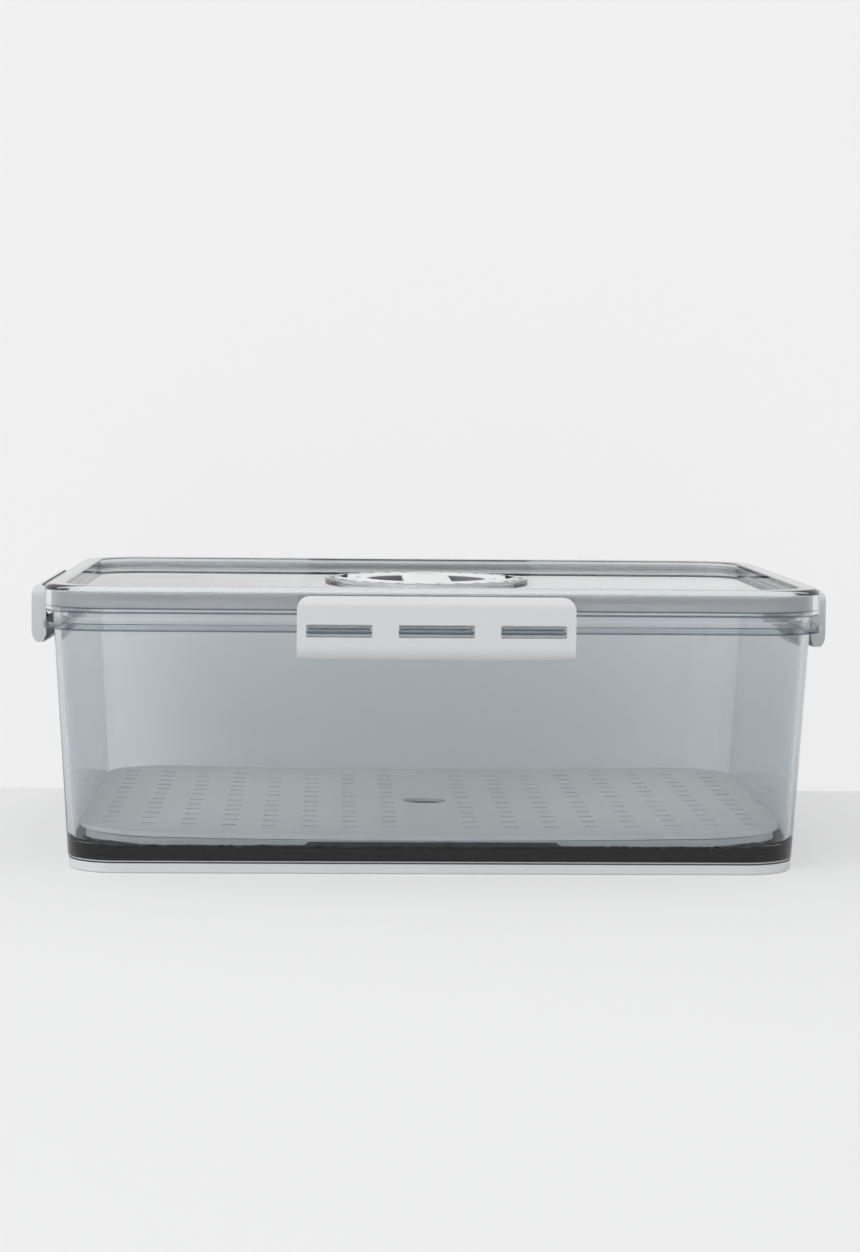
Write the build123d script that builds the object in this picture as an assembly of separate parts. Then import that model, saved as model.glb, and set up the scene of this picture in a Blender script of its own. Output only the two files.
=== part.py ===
# Food container with a drain tray: a tinted clear tub on a pale base ring, a clear lid with a seal,
# four snap latches hinged on the lid, a turning date dial with a vent knob, and a loose drain tray.
# Millimetres. +Z up, the front latch faces -Y. The origin is on the table under the tub's centre.
from math import cos, radians, sin
import os

from build123d import *

# Lid outline, from which the other outlines are offset
lid_length = 330.0
lid_depth = 240.0
lid_corner = 28.0
lid_top = 121.7
skirt_bottom = 110.3
skirt_wall = 2.6
seal_channel = 4.0
plug_wall = 2.4
plug_bottom = 107.7
rim_roof = 2.5
rim_round = 2.4
panel_top = 117.7
panel_wall = 2.4

# Tub
ring_height = 5.5
foot_inset = 9.3
foot_corner = 22.5
shoulder_height = 102.7
tub_wall = 2.6
tub_floor = 2.8
floor_round = 8.0
neck_gap = 1.0
rim_height = 112.3
flange_bottom = 103.0
flange_thick = 2.8
flange_reach = 0.7

# Base ring
ring_inset = 0.4
ring_band = 10.5
ring_chamfer = 0.6
groove_height = 4.4
groove_width = 0.5
groove_depth = 0.5

# Seal in the lid
seal_fit = 0.1

# Latches: outward distances are from the lid's outer face, heights are from the table
hinge_out = 4.8
hinge_height = 114.2
rod_radius = 1.6
rod_clearance = 0.08
knuckle_radius = 4.5
web_thick = 1.2
web_angle = 200.0
web_clearance = 0.2
swing = 100.0
plate_thick = 2.2
curl_height = 98.2
curl_radius = 6.9
curl_angle = 68.0
ledge_tip = 3.6
ledge_bottom = 100.3
ledge_top = 102.7
end_wall = 2.5
end_play = 0.5
end_wall_inner = 3.0
latch_end_bottom = 93.3
latch_corner = 5.5
latch_length = 115.6
latch_sag = 1.5
latch_windows = [(-40.3, 27.3), (0.0, 31.5), (40.3, 27.3)]
window_bottom = 101.8
window_height = 5.4
window_corner = 0.8

# Lugs on the tub behind each window
lug_reach = 5.6
lug_face = 1.3
lug_side_gap = 0.6

# Drain tray
tray_gap = 0.3
tray_corner = 37.0
tray_low_point = 16.3
tray_curve = 5320.0
tray_plate = 2.0
tray_skirt_inset = 2.8
tray_skirt_wall = 1.8
tray_skirt_bottom = 10.9
cutout_length = 105.0
cutout_height = 1.9
cutout_run = 3.0
finger_radius = 9.85
finger_chamfer = 0.8
column_pitch = 17.4
columns_per_side = 8
row_pitch = 14.8
first_row = 9.0
rows_per_side = 6
slot_length = 6.2
slot_width = 3.0

# Date dial and vent
well_radius = 31.9
well_floor_bottom = 110.6
well_floor = 2.2
dial_wall = 2.4
dial_groove_floor = 116.3
dial_groove_radius = 42.6
pointer_inner = 32.2
pointer_outer = 40.2
pointer_flange_reach = 2.0
pointer_flange_height = 0.9
dial_top = 119.1
dial_play = 0.1
scale_inner = 40.6
scale_outer = 46.5
vent_seal_inner = 5.6
vent_seal_outer = 27.0
vent_seal_height = 1.0
knob_radius = 31.5
knob_rim = 4.5
knob_base = 1.6
knob_bevel = 0.6
bridge_width = 22.0
bridge_wall = 2.0
tab_length = 10.0
tab_width = 5.0
tab_rise = 1.0
spindle_hole = 5.0
spindle_clearance = 0.08
vent_hole_radius = 4.0
vent_hole_out = 19.0
washer_radius = 8.5
washer_height = 1.5
screw_head_radius = 4.2
screw_head_height = 2.0
screw_shank_radius = 1.5
screw_shank_length = 6.0
screw_drive_width = 1.1
screw_drive_length = 4.6
screw_drive_depth = 1.2

# Distances that follow from the sizes above
skirt_inner = skirt_wall
plug_outer = skirt_wall + seal_channel
rim_inner = plug_outer + plug_wall
neck_inset = skirt_wall + neck_gap
channel_roof = lid_top - rim_roof
panel_bottom = panel_top - panel_wall
floor_top = ring_height + tub_floor
flange_top = flange_bottom + flange_thick
latch_face = hinge_out + knuckle_radius
plate_inner = latch_face - plate_thick
well_floor_top = well_floor_bottom + well_floor
seal_top = well_floor_top + vent_seal_height
knob_bottom = seal_top + dial_play
spindle_end = well_floor_bottom - dial_play
washer_bottom = spindle_end - washer_height


def outline(amount, corner=None):
    """The lid's outline moved inward by an amount, with the corner to match unless one is given."""
    radius = lid_corner - amount if corner is None else corner
    return RectangleRounded(lid_length - 2 * amount, lid_depth - 2 * amount, radius)


def slab(amount, bottom, top, corner=None):
    return Pos(0, 0, bottom) * extrude(outline(amount, corner), amount=top - bottom)


def band(outer, inner, bottom, top):
    return slab(outer, bottom, top) - slab(inner, bottom, top)


def disc(radius, bottom, top):
    return Pos(0, 0, bottom) * Cylinder(radius, top - bottom, align=(Align.CENTER, Align.CENTER, Align.MIN))


def ring(outer, inner, bottom, top):
    return disc(outer, bottom, top) - disc(inner, bottom, top)


def tapered(low_inset, low_corner, bottom, high_inset, high_corner, top):
    """A block that widens evenly from one rounded outline to another."""
    low = Pos(0, 0, bottom) * outline(low_inset, low_corner)
    high = Pos(0, 0, top) * outline(high_inset, high_corner)
    return loft([low.face(), high.face()])


def side_bar(section, length):
    """A bar along X from a section drawn as (outward, height), standing outside the plane y = 0."""
    return extrude(Plane.YZ * mirror(section, Plane.YZ), amount=length / 2, both=True)


def around_lid(piece):
    """Copies of a piece made at y = 0 facing -Y, set on the front, back, left and right of the lid."""
    return {
        "front": Pos(0, -lid_depth / 2, 0) * piece,
        "back": Rot(0, 0, 180) * Pos(0, -lid_depth / 2, 0) * piece,
        "left": Rot(0, 0, -90) * Pos(0, -lid_length / 2, 0) * piece,
        "right": Rot(0, 0, 90) * Pos(0, -lid_length / 2, 0) * piece,
    }


def web_strip(thickness, angle):
    """The section of a strip that runs from the hinge axis at an angle."""
    reach = 3 * knuckle_radius
    strip = Rectangle(reach, thickness, align=(Align.MIN, Align.CENTER))
    return Pos(hinge_out, hinge_height) * Rot(0, 0, angle) * strip


def make_hinge_rod():
    length = latch_length - 2 * (end_wall + end_play)
    rod = Pos(hinge_out, hinge_height) * Circle(rod_radius)
    lid_side = Pos(-1, hinge_height - 4) * Rectangle(hinge_out + 1, 8, align=Align.MIN)
    web = web_strip(web_thick, web_angle) & lid_side
    return side_bar(rod + web, length)


def latch_section():
    """The latch between its end walls: an open knuckle, a face plate, a curled foot and a hook ledge."""
    axis = Pos(hinge_out, hinge_height)
    opening_width = web_thick + 2 * web_clearance
    closed = web_strip(opening_width, web_angle)
    opened = web_strip(opening_width, web_angle - swing)
    reach = 3 * knuckle_radius
    corners = [(0, 0)]
    for angle in (web_angle - swing, web_angle - swing / 2, web_angle):
        corners.append((reach * cos(radians(angle)), reach * sin(radians(angle))))
    between = axis * Polygon(*corners, align=None)
    knuckle = axis * Circle(knuckle_radius) - axis * Circle(rod_radius + rod_clearance)
    knuckle = knuckle - closed - opened - between
    plate = Pos(plate_inner, curl_height) * Rectangle(plate_thick, hinge_height - curl_height, align=Align.MIN)
    ledge = Pos(ledge_tip, ledge_bottom) * Rectangle(plate_inner - ledge_tip + 0.5, ledge_top - ledge_bottom, align=Align.MIN)
    return knuckle + plate + curl(curl_radius - plate_thick) + ledge


def curl(inner_radius):
    """The part of the foot that curves back toward the tub."""
    centre_out = latch_face - curl_radius
    ring_face = Circle(curl_radius)
    if inner_radius > 0:
        ring_face = ring_face - Circle(inner_radius)
    far = 2 * curl_radius
    low = (far * cos(radians(-curl_angle)), far * sin(radians(-curl_angle)))
    mid = (far * cos(radians(-curl_angle / 2)), far * sin(radians(-curl_angle / 2)))
    wedge = Polygon((0, 0), low, mid, (far, 0), align=None)
    return Pos(centre_out, curl_height) * (ring_face & wedge)


def end_section():
    """The closed section at each end of a latch."""
    knuckle = Pos(hinge_out, hinge_height) * Circle(knuckle_radius)
    depth = latch_face - end_wall_inner
    wall = Pos(end_wall_inner, curl_height) * Rectangle(depth, hinge_height - curl_height, align=Align.MIN)
    foot = curl(0) & (Pos(end_wall_inner, 0) * Rectangle(20, 200, align=Align.MIN))
    return knuckle + wall + foot


def latch_mask():
    """The latch's outline seen from outside: round top corners and a foot that bows down."""
    top = hinge_height + knuckle_radius
    half = latch_length / 2
    lead = latch_corner * (1 - cos(radians(45)))
    edges = [
        Line((-half, latch_end_bottom), (-half, top - latch_corner)),
        ThreePointArc((-half, top - latch_corner), (-half + lead, top - lead), (-half + latch_corner, top)),
        Line((-half + latch_corner, top), (half - latch_corner, top)),
        ThreePointArc((half - latch_corner, top), (half - lead, top - lead), (half, top - latch_corner)),
        Line((half, top - latch_corner), (half, latch_end_bottom)),
        ThreePointArc((half, latch_end_bottom), (0, latch_end_bottom - latch_sag), (-half, latch_end_bottom)),
    ]
    return extrude(Plane.XZ * make_face(Curve() + edges), amount=latch_face + 1)


def make_latch():
    latch = side_bar(latch_section(), latch_length)
    for side in (-1, 1):
        latch = latch + Pos(side * (latch_length - end_wall) / 2, 0, 0) * side_bar(end_section(), end_wall)
    latch = latch & latch_mask()
    for centre, width in latch_windows:
        opening = Pos(centre, window_bottom + window_height / 2) * RectangleRounded(width, window_height, window_corner)
        latch = latch - extrude(Plane.XZ * opening, amount=latch_face + 1)
    return latch


def make_lugs():
    profile = [
        (-flange_reach - 4, flange_bottom),
        (lug_reach, flange_bottom),
        (lug_reach, flange_bottom + lug_face),
        (flange_reach, flange_top),
        (-flange_reach - 4, flange_top),
    ]
    section = Polygon(*profile, align=None)
    lugs = [Pos(centre, 0, 0) * side_bar(section, width - 2 * lug_side_gap) for centre, width in latch_windows]
    return Part() + lugs


def make_tub():
    outer = tapered(foot_inset, foot_corner, ring_height, neck_inset + 0.3, lid_corner - neck_inset, shoulder_height)
    outer = outer + slab(neck_inset, shoulder_height, rim_height)
    outer = outer + slab(-flange_reach, flange_bottom, flange_top)
    hollow = tapered(
        foot_inset + tub_wall, foot_corner - tub_wall, floor_top,
        neck_inset + tub_wall, lid_corner - neck_inset - tub_wall, shoulder_height,
    )
    hollow = fillet(hollow.edges().group_by(Axis.Z)[0], floor_round)
    hollow = hollow + slab(neck_inset + tub_wall, shoulder_height, rim_height)
    tub = outer - hollow
    for lugs in around_lid(make_lugs()).values():
        tub = tub + lugs
    return tub


def make_base_ring():
    outside = foot_inset + ring_inset
    corner = foot_corner - ring_inset
    ring_body = slab(outside, 0, ring_height, corner)
    ring_body = chamfer(ring_body.edges().group_by(Axis.Z)[0], ring_chamfer)
    groove = slab(0, groove_height, groove_height + groove_width, corner)
    core_corner = corner - groove_depth
    groove = groove - slab(outside + groove_depth, groove_height, groove_height + groove_width, core_corner)
    opening = slab(outside + ring_band, 0, ring_height, corner - ring_band)
    return ring_body - groove - opening


def make_lid():
    lid = slab(0, skirt_bottom, lid_top)
    lid = fillet(lid.edges().group_by(Axis.Z)[-1], rim_round)
    lid = lid + slab(plug_outer, plug_bottom, channel_roof)
    lid = lid - band(skirt_inner, plug_outer, skirt_bottom, channel_roof)
    lid = lid - slab(rim_inner, plug_bottom, panel_bottom)
    lid = lid - slab(rim_inner, panel_top, lid_top)
    lid = lid + disc(dial_groove_radius + dial_wall, dial_groove_floor - dial_wall, panel_top)
    lid = lid + disc(well_radius + dial_wall, well_floor_bottom, panel_top)
    lid = lid - disc(dial_groove_radius, dial_groove_floor, panel_top)
    lid = lid - disc(well_radius, well_floor_top, panel_top)
    lid = lid - disc(spindle_hole, well_floor_bottom, well_floor_top)
    for side in (-1, 1):
        lid = lid - Pos(0, side * vent_hole_out, 0) * disc(vent_hole_radius, well_floor_bottom, well_floor_top)
    for rod in around_lid(make_hinge_rod()).values():
        lid = lid + rod
    return lid


def make_lid_gasket():
    return band(skirt_inner + seal_fit, plug_outer - seal_fit, rim_height, channel_roof - seal_fit)


def make_drain_tray():
    outside = foot_inset + tub_wall - 0.5 + tray_gap
    tallest = tray_low_point + 10
    bend_axis = Pos(0, 0, tray_low_point + tray_curve) * Rot(90, 0, 0)
    underside = bend_axis * Cylinder(tray_curve + tray_plate, lid_depth)
    topside = bend_axis * Cylinder(tray_curve, lid_depth)
    tray = slab(outside, tray_skirt_bottom, tallest, tray_corner) & underside
    skirt_out = outside + tray_skirt_inset
    skirt_corner = tray_corner - tray_skirt_inset
    skirt = slab(skirt_out, tray_skirt_bottom, tray_low_point, skirt_corner)
    inside_corner = skirt_corner - tray_skirt_wall
    skirt = skirt - slab(skirt_out + tray_skirt_wall, tray_skirt_bottom, tray_low_point, inside_corner)
    half = cutout_length / 2
    low = tray_skirt_bottom - 1
    high = tray_skirt_bottom + cutout_height
    cutout = Polygon((-half - cutout_run, low), (-half, high), (half, high), (half + cutout_run, low), align=None)
    skirt = skirt - extrude(Plane.XZ * cutout, amount=lid_depth, both=True)
    tray = tray + skirt - topside
    finger = disc(finger_radius, tray_low_point - 2 * tray_plate, tallest)
    funnel = Pos(0, 0, tray_low_point - finger_chamfer / 2) * Cone(
        finger_radius, finger_radius + 2 * finger_chamfer, 2 * finger_chamfer, align=(Align.CENTER, Align.CENTER, Align.MIN)
    )
    slots = []
    for side_x in (-1, 1):
        for column in range(columns_per_side):
            for side_y in (-1, 1):
                for row in range(rows_per_side):
                    x = side_x * column_pitch * (column + 1)
                    y = side_y * (first_row + row_pitch * row)
                    slots.append(Pos(x, y, tray_low_point) * Box(slot_length, slot_width, 12))
    return tray - finger - funnel - slots


def make_scale_ring():
    return ring(scale_outer, scale_inner, panel_top, dial_top)


def make_pointer_ring():
    bottom = dial_groove_floor + dial_play
    body = ring(pointer_outer, pointer_inner, bottom, dial_top)
    return body + ring(pointer_outer + pointer_flange_reach, pointer_inner, bottom, bottom + pointer_flange_height)


def make_vent_knob():
    knob = disc(knob_radius, knob_bottom, dial_top)
    recess = disc(knob_radius - knob_rim, knob_bottom + knob_base, dial_top)
    recess = recess - Pos(0, 0, dial_top) * Box(bridge_width, 2 * knob_radius, 20)
    knob = knob - recess
    knob = chamfer(knob.edges().group_by(Axis.Z)[-1], knob_bevel)
    inner_width = bridge_width - 2 * bridge_wall
    inner_length = 2 * (knob_radius - knob_rim) - 4
    shelf = dial_top - bridge_wall
    hollow = Pos(0, 0, knob_bottom) * Box(inner_width, inner_length, shelf - knob_bottom, align=(Align.CENTER, Align.CENTER, Align.MIN))
    spindle_radius = spindle_hole - spindle_clearance
    knob = knob - hollow + disc(spindle_radius, spindle_end, shelf)
    knob = knob - disc(screw_shank_radius, spindle_end, spindle_end + screw_shank_length)
    tab = Pos(0, knob_radius - knob_rim / 2 - 0.4, dial_top - 0.5) * Box(tab_length, tab_width - 1.4, tab_rise + 0.5, align=(Align.CENTER, Align.CENTER, Align.MIN))
    for side in (-1, 1):
        knob = knob - Pos(side * vent_hole_out, 0, 0) * disc(vent_hole_radius, knob_bottom, knob_bottom + knob_base)
    return knob + tab


def make_vent_seal():
    seal = ring(vent_seal_outer, vent_seal_inner, well_floor_top, seal_top)
    for side in (-1, 1):
        seal = seal - Pos(0, side * vent_hole_out, 0) * disc(vent_hole_radius, well_floor_top, seal_top)
    return seal


def make_knob_washer():
    return ring(washer_radius, screw_shank_radius, washer_bottom, spindle_end)


def make_knob_screw():
    head_bottom = washer_bottom - screw_head_height
    head = disc(screw_head_radius, head_bottom, washer_bottom)
    head = chamfer(head.edges().group_by(Axis.Z)[0], screw_head_height / 3)
    drive = Box(screw_drive_length, screw_drive_width, 2 * screw_drive_depth)
    drive = drive + Box(screw_drive_width, screw_drive_length, 2 * screw_drive_depth)
    shank_top = washer_bottom + screw_shank_length
    return head + disc(screw_shank_radius, washer_bottom, shank_top) - Pos(0, 0, head_bottom) * drive


latches = around_lid(make_latch())

pieces = {
    "tub": make_tub(),
    "base_ring": make_base_ring(),
    "drain_tray": make_drain_tray(),
    "lid": make_lid(),
    "lid_gasket": make_lid_gasket(),
    "front_latch": latches["front"],
    "back_latch": latches["back"],
    "left_latch": latches["left"],
    "right_latch": latches["right"],
    "scale_ring": make_scale_ring(),
    "pointer_ring": make_pointer_ring(),
    "vent_knob": make_vent_knob(),
    "vent_seal": make_vent_seal(),
    "knob_washer": make_knob_washer(),
    "knob_screw": make_knob_screw(),
}

os.makedirs("parts", exist_ok=True)
for name, shape in pieces.items():
    solids = shape.solids()
    print(name, "solids", len(solids), "volume", round(shape.volume))
    export_step(solids[0] if len(solids) == 1 else shape, f"parts/{name}.step")
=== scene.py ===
# Food container with a drain tray: tinted clear tub and lid, pale latches, date dial and slotted tray.
# Metres, in the CAD model's frame: +Z up, the front latch faces -Y, the origin is on the table.
from math import cos, radians, sin

import bmesh
import bpy
from mathutils import Matrix, Quaternion, Vector


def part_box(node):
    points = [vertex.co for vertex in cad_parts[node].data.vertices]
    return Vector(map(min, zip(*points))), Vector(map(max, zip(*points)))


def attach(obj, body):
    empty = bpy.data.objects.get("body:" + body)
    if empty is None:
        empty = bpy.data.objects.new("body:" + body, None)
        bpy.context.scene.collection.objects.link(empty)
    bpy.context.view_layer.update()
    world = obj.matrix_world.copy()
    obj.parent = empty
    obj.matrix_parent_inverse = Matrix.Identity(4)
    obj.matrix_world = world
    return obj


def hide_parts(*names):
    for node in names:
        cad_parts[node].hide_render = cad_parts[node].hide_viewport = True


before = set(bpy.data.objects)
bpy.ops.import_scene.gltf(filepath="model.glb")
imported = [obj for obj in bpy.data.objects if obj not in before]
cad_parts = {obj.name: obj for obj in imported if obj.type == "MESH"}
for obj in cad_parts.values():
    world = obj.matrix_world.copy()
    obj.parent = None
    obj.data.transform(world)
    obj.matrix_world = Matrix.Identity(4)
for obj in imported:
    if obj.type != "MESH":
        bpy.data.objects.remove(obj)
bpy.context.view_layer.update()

# Clear tinted tub: one injection moulding in polished SAN plastic, with draft, a flange lip near
# the rim and a lug under the flange behind each latch window. The tint comes from the wall's depth.


class Socket:
    """A shader output that can be used in plain arithmetic."""

    def __init__(self, tree, output):
        self.tree = tree
        self.output = output

    def math(self, operation, first, second):
        node = self.tree.nodes.new("ShaderNodeMath")
        node.operation = operation
        for place, value in enumerate((first, second)):
            if isinstance(value, Socket):
                self.tree.links.new(value.output, node.inputs[place])
            else:
                node.inputs[place].default_value = value
        return Socket(self.tree, node.outputs[0])

    def __add__(self, other):
        return self.math("ADD", self, other)

    def __mul__(self, other):
        return self.math("MULTIPLY", self, other)

    def __rsub__(self, other):
        return self.math("SUBTRACT", other, self)

    def __gt__(self, other):
        return self.math("GREATER_THAN", self, other)

    def __lt__(self, other):
        return self.math("LESS_THAN", self, other)

    def larger(self, other):
        return self.math("MAXIMUM", self, other)

    def beside(self, name):
        """Another output of the same node."""
        return Socket(self.tree, self.output.node.outputs[name])

    __radd__ = __add__
    __rmul__ = __mul__


class Finish:
    """A material, built up with one method that makes any node."""

    def __init__(self, name):
        self.material = bpy.data.materials.new(name)
        self.material.use_nodes = True
        self.tree = self.material.node_tree
        self.shader = self.tree.nodes["Principled BSDF"]
        self.surface = Socket(self.tree, self.shader.outputs[0])
        self.output = self.tree.nodes["Material Output"]

    def node(self, kind, settings=None, out=0, numbered=None, **values):
        """Any node: its settings first, then its sockets, by number or by name."""
        made = self.tree.nodes.new(kind)
        for key, value in (settings or {}).items():
            setattr(made, key, value)
        for place, value in (numbered or {}).items():
            self.put(made, place, value)
        for key, value in values.items():
            self.put(made, key.replace("_", " "), value)
        return Socket(self.tree, made.outputs[out])

    def put(self, node, name, value):
        if isinstance(value, Socket):
            self.tree.links.new(value.output, node.inputs[name])
        else:
            node.inputs[name].default_value = value

    def set(self, **values):
        for key, value in values.items():
            self.put(self.shader, key.replace("_", " "), value)

    def blended(self, share, first, second):
        """The first shader with the second laid over it where the share is 1, as the surface."""
        mix = self.node("ShaderNodeMixShader", numbered={0: share, 1: first, 2: second})
        self.put(self.output, "Surface", mix)
        return mix

    def mixed(self, share, first, second):
        """The first colour with the second laid over it where the share is 1."""
        sockets = {0: share, 6: first, 7: second}
        return self.node("ShaderNodeMix", {"data_type": "RGBA"}, out=2, numbered=sockets)

    def shade_where(self, mask, colour):
        base = Socket(self.tree, self.shader.inputs["Base Color"].links[0].from_socket)
        self.set(Base_Color=self.mixed(mask, base, colour))

    def place(self):
        return self.node("ShaderNodeTexCoord", out="Object")

    def noise(self, scale, detail=2.0, stretch=(1, 1, 1)):
        where = self.node("ShaderNodeMapping", Vector=self.place(), Scale=stretch)
        return self.node("ShaderNodeTexNoise", Vector=where, Scale=scale, Detail=detail)

    def bump(self, height, distance, strength=1.0):
        return self.node("ShaderNodeBump", Height=height, Distance=distance, Strength=strength)


def clear_plastic(name, tint, depth, ripple, painted_lines=(), bend=1.5):
    """Polished see-through plastic, tinted by depth, with painted shade lines at the heights given."""
    clear = (0.985, 0.99, 0.995, 1)
    painted_line_shade = (0.34, 0.36, 0.39, 1)
    handling_scale = 26.0
    handling_dulls = 0.008
    flow_scale = 14.0
    flow_upright = (1, 1, 0.25)
    finish = Finish(name)
    level = finish.node("ShaderNodeSeparateXYZ", out="Z", Vector=finish.place())
    # Painted shade: the colour goes dark in thin bands at the listed heights, standing in for dark
    # refractions along rounded edges.
    on_painted_line = 0
    for low, high in painted_lines:
        on_painted_line = (level > low) * (level < high) + on_painted_line
    finish.set(
        Base_Color=finish.mixed(on_painted_line, clear, painted_line_shade),
        Transmission_Weight=1.0,
        IOR=bend,
        Roughness=finish.noise(handling_scale, 3.0) * handling_dulls,
        Normal=finish.bump(finish.noise(flow_scale, 1.0, flow_upright), ripple),
    )
    if depth:
        absorption = finish.node("ShaderNodeVolumeAbsorption", Color=tint, Density=depth)
        finish.put(finish.output, "Volume", absorption)
    return finish.material


def moulding(node, body, material, edge, crease=35.0, lift=0.0):
    """The CAD piece with its loose facets joined, its creases softened and a finish of its own."""
    same_point = 2e-6
    same_plane = radians(0.4)
    shape = bmesh.new()
    shape.from_mesh(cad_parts[node].data)
    bmesh.ops.remove_doubles(shape, verts=shape.verts, dist=same_point)
    bmesh.ops.dissolve_limit(shape, angle_limit=same_plane, verts=shape.verts, edges=shape.edges)
    bmesh.ops.translate(shape, verts=shape.verts, vec=(0, 0, lift))
    mesh = bpy.data.meshes.new(node + "_look")
    shape.to_mesh(mesh)
    shape.free()
    mesh.shade_smooth()
    mesh.set_sharp_from_angle(angle=radians(crease))
    mesh.materials.clear()
    mesh.materials.append(material)
    piece = bpy.data.objects.new(node + "_look", mesh)
    bpy.context.collection.objects.link(piece)
    if edge:
        soft = piece.modifiers.new("edge", "BEVEL")
        soft.width = edge
        soft.segments = 2
        soft.limit_method = "ANGLE"
        soft.angle_limit = radians(crease)
    flat = piece.modifiers.new("flat walls", "WEIGHTED_NORMAL")
    flat.weight = 100
    flat.keep_sharp = True
    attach(piece, body)
    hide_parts(node)


tub_tint = (0.20, 0.335, 0.41, 1)
tub_depth = 78.0
tub_ripple = 0.00001
tub_edge = 0.00035
# Painted shade: two thin dark lines round the tub, standing in for the dark refractions along its
# edges.
tub_painted_lines = [(0.1029, 0.1035), (0.1119, 0.1124)]
tub_plastic = clear_plastic("tub plastic", tub_tint, tub_depth, tub_ripple, tub_painted_lines)
moulding("tub", "tub", tub_plastic, tub_edge)

# Base ring: a pale moulded ring pressed under the tub, matte where it stands on the table, with a
# painted shade line round it below its top lip, where the gap under the tub's foot lies in shadow.


def pale_plastic(name, colour, grain, gloss):
    """Opaque moulded plastic with a fine spark-eroded grain and slightly uneven gloss."""
    cloud_scale = 18.0
    grain_scale = 2600.0
    grain_strength = 0.4
    uneven_gloss = 0.12
    finish = Finish(name)
    cloud = finish.noise(cloud_scale, 3.0)
    darker = (*[part * 0.97 for part in colour], 1)
    lighter = (*[min(part * 1.03, 1) for part in colour], 1)
    finish.set(
        Base_Color=finish.mixed(cloud, darker, lighter),
        Roughness=cloud * uneven_gloss + gloss,
        IOR=1.46,
        Normal=finish.bump(finish.noise(grain_scale), grain, grain_strength),
    )
    return finish


ring_grey = (0.66, 0.665, 0.675)
ring_edge = 0.0001
ring_plastic = pale_plastic("base ring plastic", ring_grey, grain=0.00004, gloss=0.42)
shade_line_low = 0.0043
shade_line_high = 0.0050
painted_gap_shade = (0.10, 0.10, 0.105, 1)
ring_level = ring_plastic.node("ShaderNodeSeparateXYZ", out="Z", Vector=ring_plastic.place())
# Painted shade: a dark band at the height of the gap under the tub's foot.
ring_plastic.shade_where((ring_level > shade_line_low) * (ring_level < shade_line_high), painted_gap_shade)
moulding("base_ring", "tub", ring_plastic.material, ring_edge)

# Drain tray: a thin polypropylene plate with slots, a finger hole and a skirt it stands on. Its
# gentle dish lets water run to the middle.

tray_grey = (0.90, 0.905, 0.91)
tray_plastic = pale_plastic("drain tray plastic", tray_grey, grain=0.00005, gloss=0.48)
tray_low_point = 0.0163
tray_curve = 5.32
tray_plate = 0.0020
plate_shadow_depth = 0.0009
painted_shadow_grey = (0.34, 0.345, 0.35, 1)
tray_along = tray_plastic.node("ShaderNodeSeparateXYZ", out="X", Vector=tray_plastic.place())
tray_level = tray_along.beside("Z")
# The dish rises along X by the square of X over twice its radius.
over_dish = tray_level + tray_along * tray_along * (-0.5 / tray_curve)
plate_bottom = tray_low_point - tray_plate
shadow_band_bottom = plate_bottom - plate_shadow_depth
# Painted shadow: a dark band on the skirt just under the plate, following the dish, standing in for
# the plate's overhang shadow.
tray_plastic.shade_where((over_dish < plate_bottom) * (over_dish > shadow_band_bottom), painted_shadow_grey)
moulding("drain_tray", "tray", tray_plastic.material, edge=0)

# Lid: clear tinted plastic with a raised rim round a sunk panel, a seal channel under the rim, a
# well for the dial and a rod along each side for the latch to clip on.

lid_tint = (0.24, 0.37, 0.44, 1)
lid_depth = 18.0
lid_ripple = 0.000008
lid_edge = 0.0003
# Painted shade: thin dark lines at the skirt's foot, higher on the skirt and at the rim's top edge,
# standing in for dark refractions.
lid_painted_lines = [(0.1102, 0.1108), (0.1122, 0.1126), (0.1192, 0.1195)]
lid_plastic = clear_plastic("lid plastic", lid_tint, lid_depth, lid_ripple, lid_painted_lines)
moulding("lid", "lid", lid_plastic, lid_edge)

# Seals: a milky silicone ring pressed into the lid's channel and a thin disc under the vent knob.


def silicone(name, colour):
    """Milky silicone that lets some light through."""
    cloud_scale = 60.0
    skin_scale = 900.0
    skin_depth = 0.00003
    skin_strength = 0.3
    finish = Finish(name)
    finish.set(
        Base_Color=(*colour, 1),
        Transmission_Weight=0.55,
        IOR=1.41,
        Roughness=finish.noise(cloud_scale, 3.0) * 0.15 + 0.35,
        Normal=finish.bump(finish.noise(skin_scale), skin_depth, skin_strength),
    )
    return finish.material


gasket_grey = (0.82, 0.84, 0.86)
gasket_silicone = silicone("gasket silicone", gasket_grey)
moulding("lid_gasket", "lid", gasket_silicone, edge=0.0006)
vent_silicone = silicone("vent seal silicone", gasket_grey)
moulding("vent_seal", "lid", vent_silicone, edge=0)

# Latches: pale moulded clips, one on each side, hinged on the lid's rods. Their windows show the
# lugs on the tub, and a ledge behind the windows hooks under those lugs.

latch_grey = (0.64, 0.645, 0.655)
latch_plastic = pale_plastic("latch plastic", latch_grey, grain=0.00004, gloss=0.38)
for side in ("front", "back", "left", "right"):
    latch = side + "_latch"
    moulding(latch, latch, latch_plastic.material, edge=0.0005)

# Date dial: a clear fixed ring with the days of the month round a pale turning ring with two black
# pointers. Both are moulded, and the marks are printed.

dial_grey = (0.76, 0.765, 0.77)
dial_plastic = pale_plastic("dial plastic", dial_grey, grain=0.00003, gloss=0.34)
scale_bend = 1.18
scale_air = 0.00005
scale_plastic = clear_plastic("scale plastic", lid_tint, 0, lid_ripple, bend=scale_bend)
moulding("scale_ring", "lid", scale_plastic, edge=0.00025, lift=scale_air)
moulding("pointer_ring", "pointer_ring", dial_plastic.material, edge=0.00025)


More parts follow.
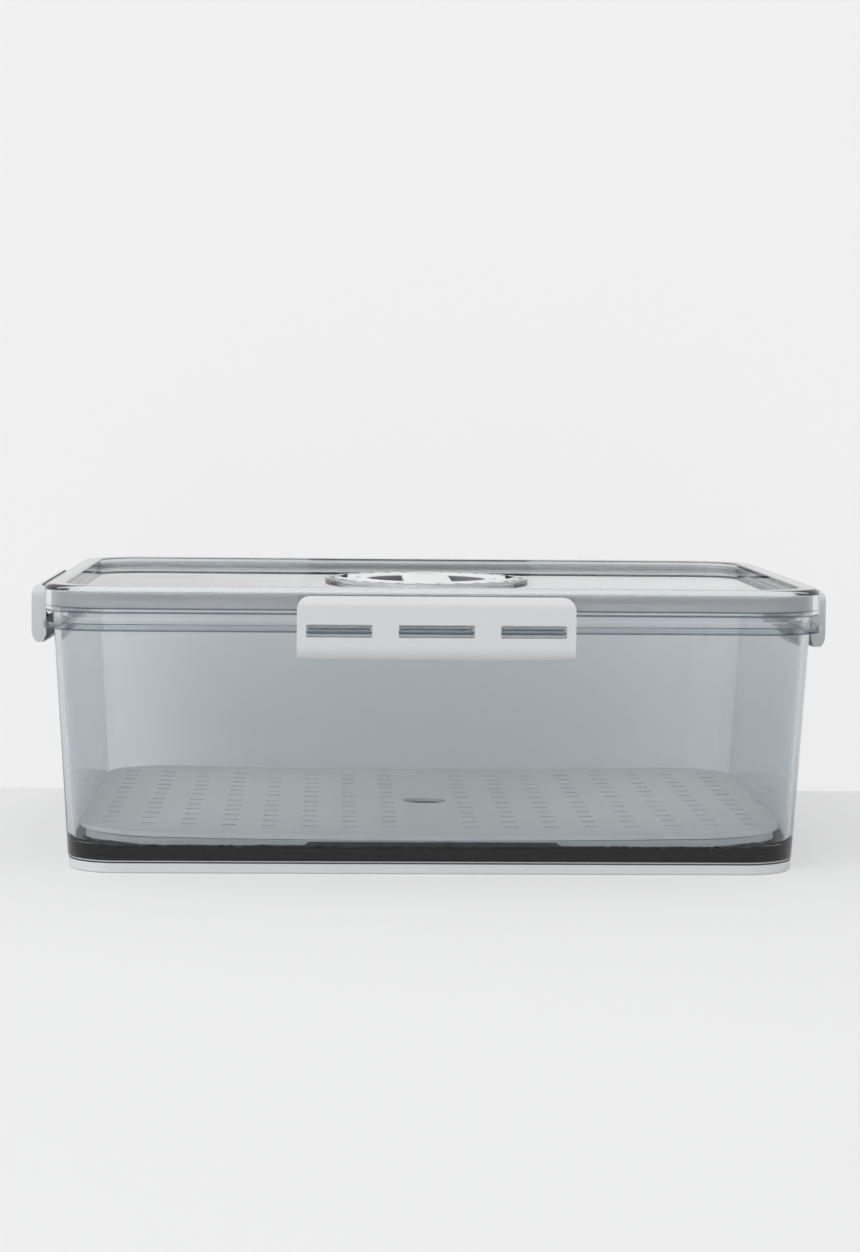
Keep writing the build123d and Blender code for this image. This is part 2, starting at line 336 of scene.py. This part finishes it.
def printed(name, shape, body, material):
    """A thin printed mark, made from a finished bmesh, that rides on a body."""
    bmesh.ops.recalc_face_normals(shape, faces=shape.faces)
    mesh = bpy.data.meshes.new(name)
    shape.to_mesh(mesh)
    shape.free()
    mesh.materials.append(material)
    mark = bpy.data.objects.new(name, mesh)
    bpy.context.collection.objects.link(mark)
    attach(mark, body)


def ink(name, colour):
    """Opaque ink with a slightly uneven gloss."""
    patch_scale = 400.0
    finish = Finish(name)
    finish.set(Base_Color=(*colour, 1), Roughness=finish.noise(patch_scale) * 0.2 + 0.4)
    return finish.material


pointer_ring_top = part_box("pointer_ring")[1].z
pointer_reach = 0.0380
pointer_length = 0.0036
pointer_half_width = 0.0011
pointer_tip = 0.00008
pointer_proud = 0.0006
pointer_black = (0.015, 0.015, 0.016)
pointer_ink = ink("pointer black", pointer_black)
pointers = bmesh.new()
for turn in (0.0, 180.0):
    made = bmesh.ops.create_cone(
        pointers,
        cap_ends=True,
        segments=24,
        radius1=pointer_half_width,
        radius2=pointer_tip,
        depth=pointer_length,
    )
    # The cone is laid on its side with its point outward, partly sunk in the ring.
    spot = Matrix.Translation((pointer_reach, 0, pointer_ring_top + pointer_proud))
    around = Matrix.Rotation(radians(turn), 4, "Z")
    laid = Matrix.Rotation(radians(90), 4, "Y")
    bmesh.ops.transform(pointers, matrix=around @ spot @ laid, verts=made["verts"])
printed("pointer_marks", pointers, "pointer_ring", pointer_ink)

scale_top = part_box("scale_ring")[1].z + scale_air
ink_height = 0.00012
number_size = 0.0036
number_reach = 0.0423
day_count = 31
number_grey = (0.08, 0.082, 0.085)
number_ink = ink("number ink", number_grey)
numbers = bmesh.new()
for day in range(1, day_count + 1):
    text = bpy.data.curves.new("day", "FONT")
    text.body = str(day)
    text.size = number_size
    text.align_x = "CENTER"
    text.extrude = ink_height / 2
    text.resolution_u = 3
    holder = bpy.data.objects.new("day", text)
    bpy.context.collection.objects.link(holder)
    flat = bpy.data.meshes.new_from_object(holder)
    turn = radians(90 - day * 360 / day_count)
    spot = Vector((number_reach * cos(turn), number_reach * sin(turn), scale_top))
    flat.transform(Matrix.Translation(spot) @ Matrix.Rotation(turn - radians(90), 4, "Z"))
    numbers.from_mesh(flat)
    bpy.data.objects.remove(holder)
    bpy.data.meshes.remove(flat)
printed("day_numbers", numbers, "lid", number_ink)

# Vent knob: a round knob with a finger bridge between two recesses, on a spindle through the lid. A
# washer and a steel screw keep it in from below.

knob_plastic = pale_plastic("knob plastic", dial_grey, grain=0.00003, gloss=0.32)
knob_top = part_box("vent_knob")[1].z
# Painted shade: inside the recess radius and below the knob's top, the colour is painted dark grey to
# stand in for the shade deep in the recesses.
recess_radius = 0.0273
recess_drop = 0.0014
painted_recess_shade = (0.24, 0.243, 0.25, 1)
across = knob_plastic.node("ShaderNodeMapping", Vector=knob_plastic.place(), Scale=(1, 1, 0))
radius = knob_plastic.node("ShaderNodeVectorMath", {"operation": "LENGTH"}, out="Value", Vector=across)
height = knob_plastic.node("ShaderNodeSeparateXYZ", out="Z", Vector=knob_plastic.place())
knob_plastic.shade_where((radius < recess_radius) * (height < knob_top - recess_drop), painted_recess_shade)
moulding("vent_knob", "vent_knob", knob_plastic.material, edge=0.0003)
moulding("knob_washer", "vent_knob", dial_plastic.material, edge=0.0002)


def steel(name):
    """Brushed stainless steel."""
    brush_scale = 700.0
    brush_stretch = (1, 1, 0.1)
    brush_depth = 0.00002
    brush_strength = 0.3
    finish = Finish(name)
    brushed = finish.noise(brush_scale, 3.0, brush_stretch)
    finish.set(
        Base_Color=(0.58, 0.58, 0.59, 1),
        Metallic=1.0,
        Roughness=brushed * 0.2 + 0.25,
        Normal=finish.bump(brushed, brush_depth, brush_strength),
    )
    return finish.material


moulding("knob_screw", "vent_knob", steel("screw steel"), edge=0.00015)

# Studio: a pale floor, a pale wall close behind that can't be seen from its back, a dark card behind
# the camera for the plastic to reflect, an even pale surround and one broad soft light.


def stage_card(name, width, height, place, material):
    """A flat card, level until it is turned, that belongs to the studio."""
    sheet = bmesh.new()
    bmesh.ops.create_grid(sheet, x_segments=1, y_segments=1, size=0.5)
    size = Matrix.Diagonal((width, height, 1, 1))
    bmesh.ops.transform(sheet, matrix=place @ size, verts=sheet.verts)
    mesh = bpy.data.meshes.new(name)
    sheet.to_mesh(mesh)
    sheet.free()
    mesh.materials.append(material)
    piece = bpy.data.objects.new(name, mesh)
    bpy.context.collection.objects.link(piece)


def backdrop(name, shade, glow, seen_share, through_share):
    """Matt card, evened out by a glow that only the camera and the plastic before it can see."""
    finish = Finish(name)
    finish.set(Base_Color=(*shade, 1), Roughness=0.9)
    camera_ray = finish.node("ShaderNodeLightPath", out="Is Camera Ray")
    through_ray = camera_ray.beside("Is Transmission Ray")
    seen = camera_ray.larger(camera_ray.beside("Is Glossy Ray")) * (1 - through_ray)
    emission = finish.node("ShaderNodeEmission", Color=(*glow, 1), Strength=1.0)
    lit = finish.blended(seen * seen_share + through_ray * through_share, finish.surface, emission)
    return finish, lit


floor_size = 16.0
floor_shade = (0.83, 0.83, 0.83)
floor_glow = (0.80, 0.80, 0.80)
floor_seen = 0.6
floor_through = 0.0
floor_finish, lit_floor = backdrop("studio floor", floor_shade, floor_glow, floor_seen, floor_through)
stage_card("floor", floor_size, floor_size, Matrix(), floor_finish.material)

wall_size = 16.0
wall_distance = 0.157
wall_shade = (0.86, 0.86, 0.86)
wall_glow = (0.88, 0.88, 0.88)
wall_seen = 0.9
wall_through = 0.34
wall_finish, lit_wall = backdrop("studio wall", wall_shade, wall_glow, wall_seen, wall_through)
wall_back = wall_finish.node("ShaderNodeNewGeometry", out="Backfacing")
wall_finish.blended(wall_back, lit_wall, wall_finish.node("ShaderNodeBsdfTransparent"))
wall_upright = Matrix.Rotation(radians(90), 4, "X")
wall_place = Matrix.Translation((0, wall_distance, wall_size / 2)) @ wall_upright
stage_card("wall", wall_size, wall_size, wall_place, wall_finish.material)

card_distance = -2.5
card_width = 3.2
card_height = 1.7
card_shade = (0.04, 0.04, 0.042)
card_finish = Finish("dark card")
card_finish.set(Base_Color=(*card_shade, 1), Roughness=0.9)
# The card only shows as a reflection: what looks straight at it or through the tub passes it.
card_looked_at = card_finish.node("ShaderNodeLightPath", out="Is Camera Ray")
card_passed = card_looked_at.larger(card_looked_at.beside("Is Transmission Ray"))
card_finish.blended(card_passed, card_finish.surface, card_finish.node("ShaderNodeBsdfTransparent"))
card_upright = Matrix.Rotation(radians(-90), 4, "X")
card_place = Matrix.Translation((0, card_distance, card_height / 2)) @ card_upright
stage_card("dark card", card_width, card_height, card_place, card_finish.material)

surround_shade = (0.95, 0.955, 0.96, 1)
surround_light = 0.9
world = bpy.data.worlds.new("studio")
world.use_nodes = True
surround = world.node_tree.nodes["Background"]
surround.inputs["Color"].default_value = surround_shade
surround.inputs["Strength"].default_value = surround_light
bpy.context.scene.world = world

lamp_size = 2.4
lamp_power = 34.0
lamp_place = Vector((-0.9, -1.7, 1.7))
lamp_data = bpy.data.lights.new("soft light", "AREA")
lamp_data.size = lamp_size
lamp_data.energy = lamp_power
lamp = bpy.data.objects.new("soft light", lamp_data)
lamp.location = lamp_place
lamp.rotation_mode = "QUATERNION"
lamp.rotation_quaternion = (-lamp_place).to_track_quat("-Z", "Y")
bpy.context.collection.objects.link(lamp)

bpy.context.scene.view_settings.view_transform = "Standard"

# Camera: about 1.3 m in front, a little left of centre and just above the lid, as in the photo.

frame_pixels_long = 1252
focal_pixels = 2800
camera_place = Vector((-0.0447, -1.282, 0.1955))
camera_pitch = radians(4.394)
camera_yaw = radians(2.08)
camera_roll = radians(0.54)
camera_data = bpy.data.cameras.new("camera")
camera_data.sensor_width = 36.0
camera_data.lens = camera_data.sensor_width * focal_pixels / frame_pixels_long
camera = bpy.data.objects.new("camera", camera_data)
camera.location = camera_place
camera.rotation_mode = "QUATERNION"
level_share = cos(camera_pitch)
looking = Vector((sin(camera_yaw) * level_share, cos(camera_yaw) * level_share, -sin(camera_pitch)))
camera.rotation_quaternion = looking.to_track_quat("-Z", "Y") @ Quaternion((0, 0, 1), camera_roll)
bpy.context.collection.objects.link(camera)
bpy.context.scene.camera = camera
